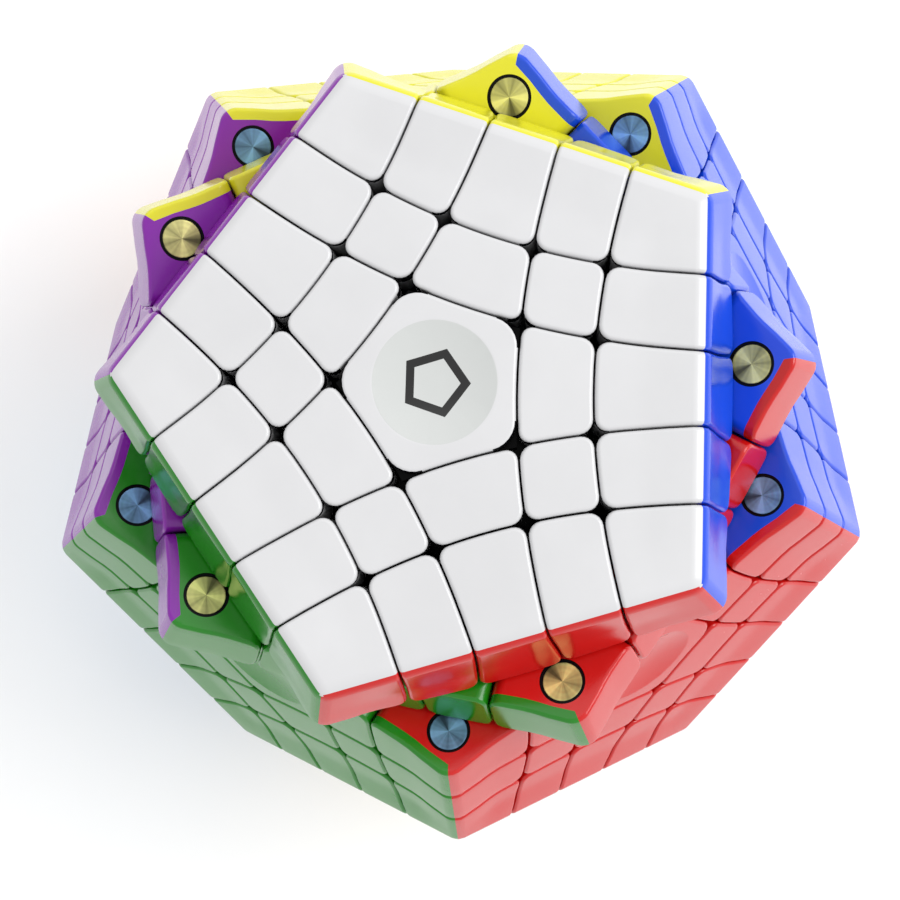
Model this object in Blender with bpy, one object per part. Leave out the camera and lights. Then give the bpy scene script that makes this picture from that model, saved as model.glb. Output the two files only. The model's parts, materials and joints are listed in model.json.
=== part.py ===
"""Five-layer dodecahedron twisty puzzle, modelled as separate solids around a twelve-armed core.

Every layer boundary is a cone that is coaxial with a face axis and opens outwards. A piece is what
is left of the dodecahedron between those cones, so each layer can turn about its own axis.
"""

import math

import bmesh
import bpy
from mathutils import Matrix, Vector

# Driving dimensions, in metres.
EDGE = 0.0465  # edge of the dodecahedron
GAP = 0.0003  # free space between two pieces
OUTER_CUT = 0.210  # where the outer boundary crosses a side edge, as a share of the edge
INNER_CUT = 0.406  # where the inner boundary crosses it
CUT_SLOPE = 0.5  # rise of a boundary cone for each unit of radius
OUTER_TURN = math.radians(-20.6)  # how far the white outer layer is turned at rest
INNER_TURN = math.radians(22.0)  # how far the white inner layer is turned at rest

MAGNET_RADIUS = 0.0025
MAGNET_THICKNESS = 0.0015
MAGNET_RECESS = 0.0001
UPPER_MAGNET_REACH = 0.0395  # from the white axis to a magnet in the white inner layer
LOWER_MAGNET_REACH = 0.0440  # from the white axis to a magnet in the body

CORE_RADIUS = 0.0082
CAVITY_RADIUS = 0.0088
ARM_RADIUS = 0.0030
LONG_ARM = 0.0195  # from the centre to the end of an arm that carries a turning face
SHORT_ARM = 0.0140
SCREW_RADIUS = 0.0014
SCREW_END = 0.0135  # from the centre to the point of the screw
HEAD_RADIUS = 0.0030
HEAD_SEAT = 0.0300  # from the centre to the underside of the screw head
HEAD_HEIGHT = 0.0025
CAP_THICKNESS = 0.0040

CONE_SIDES = 60
ROUND_SIDES = 20
ARM_SIDES = 12
OVERSHOOT = 1.15  # how far a cutter reaches, as a multiple of the distance to a face
PLASTIC_ROUGHNESS = 0.3

# What follows from them.
FACE_DISTANCE = EDGE / 2 * math.sqrt((25 + 11 * math.sqrt(5)) / 10)
CORNER_REACH = EDGE / (2 * math.sin(math.radians(36)))  # from a face's centre to its corner
GOLDEN = (1 + math.sqrt(5)) / 2
SIDE_DROP = CORNER_REACH  # height lost along a side edge that leaves the upper face
SIDE_SPREAD = CORNER_REACH * (GOLDEN - 1)  # radius gained along it
REACH = FACE_DISTANCE * OVERSHOOT  # end of every cutter, outside the puzzle
HALF_SHIFT = GAP / 2 * math.sqrt(1 + CUT_SLOPE**2)  # half a gap, measured along the cone's axis
CENTRE = Vector((0, 0, FACE_DISTANCE))


def cut_height(share):
    """Height over the centre of a boundary cone's tip, from where it crosses a side edge."""
    edge_drop = share * (SIDE_DROP + CUT_SLOPE * SIDE_SPREAD)
    return FACE_DISTANCE - CUT_SLOPE * CORNER_REACH - edge_drop


TIP = {1: cut_height(INNER_CUT), 2: cut_height(OUTER_CUT)}


def face_directions():
    """Outward directions of the twelve faces: white, five upper, five lower and grey."""
    across = 2 / math.sqrt(5)
    up = 1 / math.sqrt(5)
    found = {"white": Vector((0, 0, 1)), "grey": Vector((0, 0, -1))}
    for index in range(5):
        angle = math.radians(-72 * index - 36)
        side = Vector((across * math.cos(angle), across * math.sin(angle), up))
        found[f"upper{index}"] = side
        found[f"lower{index}"] = -side
    return found


AXES = face_directions()
UPPER_COLOURS = ("yellow", "blue", "red", "green", "purple")
TURNING_LOWER = {"cream": "lower0", "orange": "lower2"}
LONG_ARMS = ("white", *TURNING_LOWER.values())

COLOURS = {
    "white": (0.75, 0.75, 0.76, 1),
    "yellow": (0.83, 0.79, 0.03, 1),
    "blue": (0.01, 0.085, 0.78, 1),
    "red": (0.62, 0.006, 0.008, 1),
    "green": (0.008, 0.24, 0.012, 1),
    "purple": (0.25, 0.018, 0.36, 1),
    "cream": (0.80, 0.72, 0.45, 1),
    "orange": (0.80, 0.20, 0.02, 1),
    "black": (0.01, 0.01, 0.01, 1),
    "gold": (0.60, 0.47, 0.20, 1),
    "steel": (0.35, 0.38, 0.45, 1),
    "grey": (0.15, 0.15, 0.16, 1),
}


def material(name):
    """The glossy plastic or metal of that colour, made once."""
    found = bpy.data.materials.get(name)
    if found:
        return found
    made = bpy.data.materials.new(name)
    made.use_nodes = True
    shader = made.node_tree.nodes["Principled BSDF"]
    shader.inputs["Base Color"].default_value = COLOURS[name]
    shader.inputs["Roughness"].default_value = PLASTIC_ROUGHNESS
    shader.inputs["Metallic"].default_value = float(name in ("gold", "steel"))
    made.diffuse_color = COLOURS[name]
    return made


def turned_to(direction):
    """Matrix that turns +Z to a direction."""
    return direction.to_track_quat("Z", "Y").to_matrix().to_4x4()


def new_object(name, mesh, colour=None, parent=None):
    """An object of that mesh under an optional empty."""
    made = bpy.data.objects.new(name, mesh)
    bpy.context.scene.collection.objects.link(made)
    if colour:
        mesh.materials.clear()
        mesh.materials.append(material(colour))
    made.parent = parent
    return made


def helper(name, mesh):
    """A cutter, which isn't part of the puzzle."""
    made = new_object(name, mesh)
    made.hide_render = True
    made.display_type = "WIRE"
    return made


def mesh_of(shape, name):
    """Closes a bmesh into a mesh with its faces pointing out."""
    bmesh.ops.remove_doubles(shape, verts=shape.verts, dist=1e-6)
    bmesh.ops.recalc_face_normals(shape, faces=shape.faces)
    mesh = bpy.data.meshes.new(name)
    shape.to_mesh(mesh)
    shape.free()
    return mesh


def dodecahedron():
    """The whole puzzle's outside, about its centre: one ring of corners for each height."""
    shape = bmesh.new()
    middle_reach = CORNER_REACH + SIDE_SPREAD
    middle_height = FACE_DISTANCE - SIDE_DROP
    for index in range(5):
        turn = Matrix.Rotation(math.radians(-72 * index), 4, "Z")
        for reach, height in ((CORNER_REACH, FACE_DISTANCE), (middle_reach, middle_height)):
            shape.verts.new(turn @ Vector((reach, 0, height)))
            shape.verts.new(turn @ Vector((-reach, 0, -height)))
    bmesh.ops.convex_hull(shape, input=shape.verts)
    bmesh.ops.dissolve_limit(shape, angle_limit=0.01, verts=shape.verts, edges=shape.edges)
    return mesh_of(shape, "dodecahedron")


def cone_cutter(axis, boundary, side):
    """Solid over a boundary cone, half a gap up (side 1) or down (side -1) along its axis."""
    name = f"cut_{axis}_{boundary}_{'outer' if side > 0 else 'inner'}"
    found = bpy.data.objects.get(name)
    if found:
        return found
    tip = TIP[boundary] + side * HALF_SHIFT
    height = REACH - tip
    shape = bmesh.new()
    bmesh.ops.create_cone(
        shape,
        cap_ends=True,
        segments=CONE_SIDES,
        radius1=0,
        radius2=height / CUT_SLOPE,
        depth=height,
        matrix=turned_to(AXES[axis]) @ Matrix.Translation((0, 0, tip + height / 2)),
    )
    return helper(name, mesh_of(shape, name))


def rod(name, axis, radius, start, end, sides=ROUND_SIDES):
    """Round bar along a face axis, from one distance to another."""
    shape = bmesh.new()
    bmesh.ops.create_cone(
        shape,
        cap_ends=True,
        segments=sides,
        radius1=radius,
        radius2=radius,
        depth=end - start,
        matrix=turned_to(AXES[axis]) @ Matrix.Translation((0, 0, (start + end) / 2)),
    )
    return helper(name, mesh_of(shape, name))


def ball(name, radius):
    """Faceted ball about the centre."""
    shape = bmesh.new()
    bmesh.ops.create_icosphere(shape, subdivisions=2, radius=radius)
    return helper(name, mesh_of(shape, name))


def carved(mesh, steps):
    """The mesh after a chain of Booleans, each a pair of an operation and the other solid.

    Cone tips and long cone facets meet in the chain, where only this solver keeps meshes closed.
    """
    work = bpy.data.objects.new("work", mesh.copy())
    bpy.context.scene.collection.objects.link(work)
    for operation, other in steps:
        modifier = work.modifiers.new(other.name, "BOOLEAN")
        modifier.solver = "MANIFOLD"
        modifier.operation = operation
        modifier.object = other
    graph = bpy.context.evaluated_depsgraph_get()
    result = bpy.data.meshes.new_from_object(work.evaluated_get(graph))
    bpy.data.objects.remove(work)
    return result


def piece_mesh(whole, levels, extra=()):
    """Part of the whole at these levels: 2 is a face's outer layer, 1 its inner layer, 0 below."""
    steps = []
    for axis, level in levels.items():
        if level:
            steps.append(("INTERSECT", cone_cutter(axis, level, 1)))
        if level < 2:
            steps.append(("DIFFERENCE", cone_cutter(axis, level + 1, -1)))
    return carved(whole, steps + list(extra))


def around(index, own, after, before):
    """Levels of an upper face and of the faces after and before it."""
    return {
        f"upper{index}": own,
        f"upper{(index + 1) % 5}": after,
        f"upper{(index - 1) % 5}": before,
    }


def empty(name, turn=0.0):
    """A frame about the puzzle's centre, turned about the white axis."""
    made = bpy.data.objects.new(name, None)
    bpy.context.scene.collection.objects.link(made)
    made.location = CENTRE
    made.rotation_euler.z = turn
    return made


def magnet_place(boundary, reach):
    """Matrix at the cut face under a boundary, in the plane of the first corner, +Z off the face."""
    height = TIP[boundary] - HALF_SHIFT + CUT_SLOPE * reach
    normal = Vector((-CUT_SLOPE, 0, 1)).normalized()
    return Matrix.Translation((reach, 0, height)) @ turned_to(normal)


def disc(name, place, radius, low, high):
    """Round disc on a cut face, from one depth to another."""
    shape = bmesh.new()
    bmesh.ops.create_cone(
        shape,
        cap_ends=True,
        segments=ROUND_SIDES,
        radius1=radius,
        radius2=radius,
        depth=high - low,
        matrix=place @ Matrix.Translation((0, 0, (low + high) / 2)),
    )
    return mesh_of(shape, name)


def white_outer_layer(whole, frame):
    """The thirty-one pieces of the white face, with the screw that holds its centre."""
    none = {f"upper{index}": 0 for index in range(5)}
    cap_floor = FACE_DISTANCE - CAP_THICKNESS
    centre = piece_mesh(whole, {"white": 2, **none})
    above = rod("above_split", "white", EDGE, cap_floor + GAP / 2, REACH)
    below = rod("below_split", "white", EDGE, cap_floor - GAP / 2, REACH)
    bore = rod("screw_bore", "white", SCREW_RADIUS + GAP, SCREW_END, FACE_DISTANCE)
    counterbore = rod("head_bore", "white", HEAD_RADIUS + GAP, HEAD_SEAT - GAP, FACE_DISTANCE)
    new_object("white_center_cap", carved(centre, [("INTERSECT", above)]), "white", frame)
    base = carved(centre, [("DIFFERENCE", tool) for tool in (below, bore, counterbore)])
    new_object("white_center_base", base, "black", frame)

    shank = rod("shank", "white", SCREW_RADIUS, SCREW_END, HEAD_SEAT + HEAD_HEIGHT / 2)
    head = rod("head", "white", HEAD_RADIUS, HEAD_SEAT, HEAD_SEAT + HEAD_HEIGHT)
    new_object("white_center_screw", carved(shank.data, [("UNION", head)]), "steel", frame)

    kinds = (
        ("t_center", (1, 0, 0)),
        ("x_center", (1, 1, 0)),
        ("midge", (2, 0, 0)),
        ("wing_left", (2, 1, 0)),
        ("wing_right", (2, 0, 1)),
        ("corner", (2, 2, 0)),
    )
    for index in range(5):
        for kind, levels in kinds:
            mesh = piece_mesh(whole, {"white": 2, **around(index, *levels)})
            new_object(f"white_{kind}_{index + 1}", mesh, "white", frame)


def white_inner_layer(whole, frame):
    """The second layer: a hidden disc that carries five face strips and five edge wings."""
    place = magnet_place(2, UPPER_MAGNET_REACH)
    floor = -MAGNET_RECESS - MAGNET_THICKNESS
    for index, colour in enumerate(UPPER_COLOURS):
        turn = Matrix.Rotation(math.radians(-72 * index - 72), 4, "Z")
        pocket = helper(
            f"upper_pocket_{index}",
            disc("pocket", turn @ place, MAGNET_RADIUS + GAP, floor - GAP, GAP),
        )
        levels = {"white": 1, f"upper{index}": 2, f"upper{(index + 1) % 5}": 2}
        wing = piece_mesh(whole, levels, [("DIFFERENCE", pocket)])
        new_object(f"second_layer_{colour}_wing", wing, colour, frame)
        new_object(f"second_layer_{colour}_strip", strip_mesh(whole, index), colour, frame)
        magnet = disc("magnet", turn @ place, MAGNET_RADIUS, floor, -MAGNET_RECESS)
        new_object(f"gold_magnet_{index + 1}", magnet, "gold", frame)

    bore = rod("arm_bore", "white", ARM_RADIUS + GAP, 0, FACE_DISTANCE)
    steps = [("DIFFERENCE", cone_cutter(f"upper{index}", 2, -1)) for index in range(5)]
    hidden = piece_mesh(whole, {"white": 1}, [*steps, ("DIFFERENCE", bore)])
    new_object("second_layer_disc", hidden, "black", frame)


def strip_mesh(whole, index):
    """Row of three face pieces in the white inner layer, between two edge wings."""
    return piece_mesh(
        whole,
        {"white": 1},
        [
            ("INTERSECT", cone_cutter(f"upper{index}", 2, 1)),
            ("DIFFERENCE", cone_cutter(f"upper{(index + 1) % 5}", 2, -1)),
            ("DIFFERENCE", cone_cutter(f"upper{(index - 1) % 5}", 2, -1)),
        ],
    )


def lower_faces(whole):
    """Both layers of the two lower faces that can turn while the white face is part turned."""
    for colour, axis in TURNING_LOWER.items():
        outer = empty(f"{colour}_outer_axis")
        inner = empty(f"{colour}_inner_axis")
        new_object(f"{colour}_outer_layer", piece_mesh(whole, {axis: 2}), colour, outer)
        bore = rod(f"{axis}_bore", axis, ARM_RADIUS + GAP, 0, FACE_DISTANCE)
        ring = piece_mesh(whole, {axis: 1}, [("DIFFERENCE", bore)])
        new_object(f"{colour}_inner_layer", ring, colour, inner)


def core(frame):
    """Ball with twelve arms. The three arms of the turning faces are longer, one is drilled."""
    steps = []
    for axis in AXES:
        length = LONG_ARM if axis in LONG_ARMS else SHORT_ARM
        steps.append(("UNION", rod(f"arm_{axis}", axis, ARM_RADIUS, 0, length, ARM_SIDES)))
    drill = rod("drill", "white", SCREW_RADIUS + GAP, SCREW_END - GAP, FACE_DISTANCE)
    steps.append(("DIFFERENCE", drill))
    new_object("core_spider", carved(ball("core_ball", CORE_RADIUS).data, steps), "black", frame)


def middle_body(whole, frame):
    """All that stays put: the middle layers, with room for the core and for five magnets."""
    steps = [("DIFFERENCE", cone_cutter(axis, 1, -1)) for axis in LONG_ARMS]
    steps.append(("DIFFERENCE", ball("cavity", CAVITY_RADIUS)))
    for axis in AXES:
        length = FACE_DISTANCE if axis in LONG_ARMS else SHORT_ARM + GAP
        room = rod(f"arm_room_{axis}", axis, ARM_RADIUS + GAP, 0, length, ARM_SIDES)
        steps.append(("DIFFERENCE", room))
    place = magnet_place(1, LOWER_MAGNET_REACH)
    floor = -MAGNET_RECESS - MAGNET_THICKNESS
    for index in range(5):
        turned = Matrix.Rotation(math.radians(-72 * index), 4, "Z") @ place
        pocket = disc("pocket", turned, MAGNET_RADIUS + GAP, floor - GAP, GAP)
        steps.append(("DIFFERENCE", helper(f"lower_pocket_{index}", pocket)))
        magnet = disc("magnet", turned, MAGNET_RADIUS, floor, -MAGNET_RECESS)
        new_object(f"steel_magnet_{index + 1}", magnet, "steel", frame)
    new_object("middle_body", carved(whole, steps), "grey", frame)


def main():
    for old in list(bpy.data.objects):
        bpy.data.objects.remove(old)
    whole = dodecahedron()
    body_frame = empty("body_frame")
    middle_body(whole, body_frame)
    core(body_frame)
    lower_faces(whole)
    white_inner_layer(whole, empty("white_inner_axis", INNER_TURN))
    white_outer_layer(whole, empty("white_outer_axis", OUTER_TURN))


main()
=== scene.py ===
import contextlib
import json
import math

import bpy
import numpy as np
from mathutils import Matrix, Vector

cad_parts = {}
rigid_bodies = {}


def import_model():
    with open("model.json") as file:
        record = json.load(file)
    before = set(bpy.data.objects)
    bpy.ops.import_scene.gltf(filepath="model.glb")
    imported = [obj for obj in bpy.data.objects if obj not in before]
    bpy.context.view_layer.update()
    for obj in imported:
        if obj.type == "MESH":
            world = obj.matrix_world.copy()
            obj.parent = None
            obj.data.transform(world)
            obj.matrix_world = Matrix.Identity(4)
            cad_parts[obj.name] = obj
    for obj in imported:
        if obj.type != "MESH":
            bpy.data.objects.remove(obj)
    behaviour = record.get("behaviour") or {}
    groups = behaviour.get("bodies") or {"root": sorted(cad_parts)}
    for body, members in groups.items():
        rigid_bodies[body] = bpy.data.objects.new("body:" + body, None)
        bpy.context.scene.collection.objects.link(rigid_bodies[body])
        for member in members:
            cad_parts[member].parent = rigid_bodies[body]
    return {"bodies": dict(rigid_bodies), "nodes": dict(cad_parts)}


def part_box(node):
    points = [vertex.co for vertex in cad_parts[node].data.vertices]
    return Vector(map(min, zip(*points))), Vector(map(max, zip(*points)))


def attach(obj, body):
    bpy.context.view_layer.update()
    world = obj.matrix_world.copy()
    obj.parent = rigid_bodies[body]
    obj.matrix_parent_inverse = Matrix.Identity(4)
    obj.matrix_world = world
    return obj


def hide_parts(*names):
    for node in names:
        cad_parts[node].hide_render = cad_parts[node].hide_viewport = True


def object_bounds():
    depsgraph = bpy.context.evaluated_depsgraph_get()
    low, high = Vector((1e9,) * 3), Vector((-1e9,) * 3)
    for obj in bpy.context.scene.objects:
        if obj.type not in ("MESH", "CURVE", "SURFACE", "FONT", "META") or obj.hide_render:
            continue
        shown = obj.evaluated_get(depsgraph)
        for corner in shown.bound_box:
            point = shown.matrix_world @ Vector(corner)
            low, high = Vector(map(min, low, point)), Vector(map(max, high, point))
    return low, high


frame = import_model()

bl_info = {
    "name": "Five-layer dodecahedron puzzle",
    "version": (1, 0, 0),
    "blender": (4, 5, 0),
    "location": "View3D > Sidebar > Puzzle",
    "description": "Builds the pieces of a dodecahedron twisty puzzle around its core",
    "category": "Object",
}

CAD_LOW, CAD_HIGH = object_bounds()
FACE_DISTANCE = (CAD_HIGH.z - CAD_LOW.z) / 2
FACE_PER_EDGE = math.sqrt((25 + 11 * math.sqrt(5)) / 10) / 2
CENTRE = Vector((0, 0, CAD_LOW.z + FACE_DISTANCE))
GOLDEN = (1 + math.sqrt(5)) / 2

UPPER = ("yellow", "blue", "red", "green", "purple")
LOWER = ("cream", "light_blue", "orange", "lime", "pink")
TURNING = ("white", "cream", "orange")
REST_TURN = {"white_outer": math.radians(-20.6), "white_inner": math.radians(22.0)}

BODY_SLOT = 3  # material slot of a piece's own plastic, after its coloured faces
PAINTED_SHADE_SLOT = 4  # slot of the black painted shade down a piece's rounded inner corners, where the holes between pieces are dark
PLATE_REACH = 0.00015  # how far the white plate goes on over a ridge
TIE_BREAK = 0.00001  # settles the polygons that lie just as deep under two faces
SHADE_STRIPS_FROM = 1.7  # where the strips of painted shade start under a face, in fillets
SHADE_STRIPS_TO = 1.8  # where they end, in shells

# A piece's points start inside it, and move out to its surfaces from there.
EDGE_START = 0.006  # depth of that start in a piece that touches two or three faces
FACE_START = 0.003  # in one that touches one face
CENTER_START = 0.005  # in a center
WING_OUT = 0.008  # from the middle of an edge to a wing's start
T_CENTER_OUT = 0.016  # from the middle of a face to a t center's
X_CENTER_OUT = 0.012
CENTER_OUT = 0.010

# Radius and depth of the dish's rings of vertices, as shares of its own.
DISH_RINGS = (
    (1.04, 0), (1.0, 0), (0.985, 0.04), (0.85, 0.28), (0.66, 0.57), (0.42, 0.83), (0.16, 0.98)
)
# Greyer tint of a center cap's dish: painted shade in the hollow.
PAINTED_DISH_SHADE = (0.53, 0.545, 0.535, 1)
PRINT_TINT = (0.01, 0.01, 0.01, 1)
PRINT_RADIUS = 0.0030  # from the middle of the printed ring to the middle of its sides
PRINT_HALF_WIDTH = 0.0005
GROOVES = 9000  # phase of a magnet's turning marks, for each metre from its middle

ROUND_SIDES = 60  # of the mechanism's shapes and the magnets' dark rings
HOLE_RADIUS = 0.0095  # of the mechanism's rings
RING_RADIUS = 0.0300
RING_LIP = 0.004  # how far the outer side of an outer ring goes on over its cut
RING_TAPER = 0.006  # how much narrower that ring is at its roof

MAGNET_SIDES = 48  # of a magnet and its pocket
MAGNET_RADIUS = 0.0025
MAGNET_THICKNESS = 0.0015
MAGNET_BEVEL = 0.00012
MAGNET_RIM = 0.00036  # width of the dark ring round a magnet
RIM_PLAY = 0.00002  # between a magnet and its ring
RIM_OVER = 0.00004  # how far the ring stands over the magnet
RIM_UNDER = 0.0001
POCKET_PLAY = 0.00003  # between the ring and its pocket
POCKET_SINK = 0.0002  # how far the pocket goes on under a magnet

WORLD_STRENGTH = 0.88
LIGHTS = (  # name, place, width and power
    ("key", (-0.30, -0.56, 0.62), 0.5, 4.2),
    ("fill", (0.45, -0.34, 0.70), 0.8, 1.2),
)


# ---------------------------------------------------------------- settings


def length(name, default, description):
    """A size that a user can change."""
    return bpy.props.FloatProperty(
        name=name, description=description, default=default, min=0, unit="LENGTH", precision=5
    )


def share(name, default, description):
    """A number without a unit."""
    return bpy.props.FloatProperty(name=name, description=description, default=default, min=0)


def colour(name, default):
    """A colour that a user can change."""
    return bpy.props.FloatVectorProperty(
        name=name,
        description=f"Colour of the {name.lower()} plastic or metal",
        subtype="COLOR",
        size=3,
        min=0,
        max=1,
        default=default,
    )


class PuzzleSizes(bpy.types.PropertyGroup):
    """Sizes of the pieces."""

    edge: length("Edge", FACE_DISTANCE / FACE_PER_EDGE, "Edge of the dodecahedron")
    gap: length("Gap", 0.00024, "Free space between two pieces")
    outer_cut: share("Outer cut", 0.210, "Where the outer boundary crosses an edge")
    inner_cut: share("Inner cut", 0.406, "Where the inner boundary crosses an edge")
    slope: share("Cut slope", 0.5, "Rise of a boundary cone for each unit of radius")
    hollow: length("Hollow", 0.0006, "How far the flat part of a face lies under its edges")
    hollow_start: length("Hollow start", 0.0015, "Where a face starts to sink, from its edge")
    hollow_run: length("Hollow run", 0.0065, "Width of the sinking strip along an edge")
    ridge: length("Ridge", 0.00142, "Rounding of the dodecahedron's edges")
    fillet: length("Fillet", 0.0005, "Rounding of the pieces' outlines")
    corner: length("Corner", 0.0016, "Rounding of a piece's inner corners")
    center_corner: length("Center corner", 0.0029, "Rounding of a center's corners")
    shell: length("Shell", 0.0015, "Thickness of a coloured face plate")
    plate: length("Plate", 0.0085, "Depth of a piece that touches one face only")
    cap: length("Cap", 0.0040, "Thickness of a center cap")
    dish: length("Dish", 0.0075, "Radius of the round hollow in a center cap")
    dish_depth: length("Dish depth", 0.0009, "Depth of that hollow")


class PuzzleColours(bpy.types.PropertyGroup):
    """Colours of the plastics and metals."""

    white: colour("White", (0.60, 0.60, 0.61))
    yellow: colour("Yellow", (0.68, 0.65, 0.02))
    blue: colour("Blue", (0.006, 0.060, 0.60))
    red: colour("Red", (0.53, 0.006, 0.005))
    green: colour("Green", (0.010, 0.20, 0.006))
    purple: colour("Purple", (0.21, 0.010, 0.33))
    cream: colour("Cream", (0.64, 0.56, 0.34))
    light_blue: colour("Light blue", (0.13, 0.38, 0.66))
    orange: colour("Orange", (0.68, 0.17, 0.008))
    lime: colour("Lime", (0.24, 0.54, 0.02))
    pink: colour("Pink", (0.68, 0.23, 0.37))
    grey: colour("Grey", (0.17, 0.17, 0.18))
    black: colour("Black", (0.004, 0.004, 0.005))
    gold: colour("Gold", (0.50, 0.48, 0.18))
    steel: colour("Steel", (0.14, 0.28, 0.45))


def sizes():
    """The sizes as the user has set them."""
    return bpy.context.scene.puzzle_sizes


# ---------------------------------------------------------------- geometry of the puzzle


def face_axes():
    """Outward direction of each face, by its colour."""
    across, up = 2 / math.sqrt(5), 1 / math.sqrt(5)
    found = {"white": np.array((0.0, 0.0, 1.0))}
    for index, name in enumerate(UPPER):
        angle = math.radians(-72 * index - 36)
        found[name] = np.array((across * math.cos(angle), across * math.sin(angle), up))
    for above, below in zip(UPPER, LOWER):
        found[below] = -found[above]
    found["grey"] = -found["white"]
    return found


AXES = face_axes()


def neighbours(face):
    """The five faces that share an edge with a face."""
    return [other for other in AXES if 0.1 < AXES[face] @ AXES[other] < 0.9]


def square_frame(first, second):
    """Three perpendicular directions that follow two adjacent faces, as columns."""
    side = AXES[second] - (AXES[second] @ AXES[first]) * AXES[first]
    side /= np.linalg.norm(side)
    return np.column_stack((AXES[first], side, np.cross(AXES[first], side)))


def rotations():
    """The sixty rotations of the dodecahedron, each with the faces that it moves."""
    start = square_frame("white", "yellow")
    for first in AXES:
        for second in neighbours(first):
            turn = square_frame(first, second) @ start.T
            moved = {
                face: max(AXES, key=lambda other: AXES[other] @ turn @ AXES[face])
                for face in AXES
            }
            yield turn, moved


def cut_tip(boundary):
    """Distance from the centre to the tip of a boundary cone: 2 is the outer one, 1 the inner."""
    size = sizes()
    part = size.outer_cut if boundary == 2 else size.inner_cut
    reach = size.edge / (2 * math.sin(math.radians(36)))  # from a face's middle to its corners
    down = part * reach  # how deep the cut crosses the edges that leave those corners
    out = reach + down * (GOLDEN - 1)
    return FACE_DISTANCE - down - size.slope * out


def skin(face):
    """Height over a face's hollowed surface, which sinks from the edges towards the middle."""
    size = sizes()
    normal = AXES[face]
    reach = size.edge / (2 * math.tan(math.radians(36)))
    sides = [square_frame(face, other)[:, 1] for other in neighbours(face)]
    blend = 6  # how sharply the strips along two edges meet

    def height(points):
        past = reach - size.hollow_start - size.hollow_run
        rise = [np.clip((points @ side - past) / size.hollow_run, 0, None) for side in sides]
        risen = np.clip(np.sum(np.array(rise) ** blend, axis=0) ** (1 / blend), 0, 1)
        return points @ normal - FACE_DISTANCE + size.hollow * (1 - risen**2 * (3 - 2 * risen))

    return height


def cone(face, boundary, side):
    """Height over a boundary cone, half a gap above (side 1) or below (side -1) the cut."""
    size = sizes()
    normal = AXES[face]
    shift = side * size.gap / 2 * math.sqrt(1 + size.slope**2)
    tip = cut_tip(boundary) + shift

    def height(points):
        along = points @ normal
        out = points - along[:, None] * normal
        return along - tip - size.slope * np.sqrt((out**2).sum(axis=1) + 1e-12)

    return height


def plane(face, depth):
    """Height over a plane at a depth under a face."""
    return lambda points: points @ AXES[face] - FACE_DISTANCE + depth


def turned_over(height):
    """The same surface, with its two sides swapped."""
    return lambda points: -height(points)


def settled(points, fields):
    """Moves each point to where three fields are zero, by Newton's method."""
    step = 1e-6
    longest = 0.006  # of one move, so that a far start doesn't overshoot
    for _ in range(25):
        now = fields(points)
        slopes = np.empty((len(points), 3, 3))
        for axis in range(3):
            shift = np.zeros(3)
            shift[axis] = step
            slopes[:, :, axis] = (fields(points + shift) - fields(points - shift)) / (2 * step)
        move = np.linalg.solve(slopes, now[:, :, None])[:, :, 0]
        far = np.linalg.norm(move, axis=1, keepdims=True)
        points = points - move * np.minimum(1, longest / np.maximum(far, 1e-12))
    if np.abs(fields(points)).max() > 1e-7:
        raise RuntimeError("a piece's surface didn't settle")
    return points


# ---------------------------------------------------------------- modelling helpers


def deselect():
    """Leaves nothing selected, in object mode."""
    if bpy.context.object and bpy.context.object.mode != "OBJECT":
        bpy.ops.object.mode_set(mode="OBJECT")
    bpy.ops.object.select_all(action="DESELECT")


def only(piece):
    """Makes a piece the one that is selected and active."""
    deselect()
    piece.select_set(True)
    bpy.context.view_layer.objects.active = piece


@contextlib.contextmanager
def edit_mode():
    """Edit mode on the active piece, then object mode again."""
    bpy.ops.object.mode_set(mode="EDIT")
    yield
    bpy.ops.object.mode_set(mode="OBJECT")


def clear_selection(kind):
    """Selects nothing on the active piece, ready to select its EDGEs or FACEs in code."""
    with edit_mode():
        bpy.ops.mesh.select_mode(type=kind)
        bpy.ops.mesh.select_all(action="DESELECT")


def added(name):
    """The primitive that was just added, under its name."""
    piece = bpy.context.object
    piece.name = name
    piece.data.name = name
    return piece


def co_of(mesh):
    """Places of a mesh's vertices, as rows."""
    flat = np.empty(len(mesh.vertices) * 3)
    mesh.vertices.foreach_get("co", flat)
    return flat.reshape(-1, 3)


def put(mesh, points):
    """Moves a mesh's vertices."""
    mesh.vertices.foreach_set("co", np.asarray(points, float).ravel())
    mesh.update()


def face_edges(mesh):
    """For each edge, the faces on its two sides."""
    found = {}
    for polygon in mesh.polygons:
        for key in polygon.edge_keys:
            found.setdefault(key, []).append(polygon)
    return found


def bevel_edges(piece, wanted, offset, segments, slot=-1):
    """Rounds the edges for which wanted(edge, faces beside it) is true."""
    only(piece)
    clear_selection("EDGE")
    mesh = piece.data
    beside = face_edges(mesh)
    for edge in mesh.edges:
        edge.select = wanted(edge, beside[edge.key])
    with edit_mode():
        bpy.ops.mesh.bevel(
            offset=offset, segments=segments, affect="EDGES", clamp_overlap=False, material=slot
        )


def outward(piece):
    """Points the faces of a closed piece outwards."""
    only(piece)
    with edit_mode():
        bpy.ops.mesh.select_all(action="SELECT")
        bpy.ops.mesh.normals_make_consistent(inside=False)


def smooth(piece, angle=50):
    """Shades a piece smooth, with flat faces kept flat beside their fillets."""
    only(piece)
    bpy.ops.object.shade_smooth_by_angle(angle=math.radians(angle))
    weighted = piece.modifiers.new("weighted", "WEIGHTED_NORMAL")
    weighted.keep_sharp = True
    weighted.weight = 80
    bpy.ops.object.modifier_apply(modifier=weighted.name)


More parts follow.
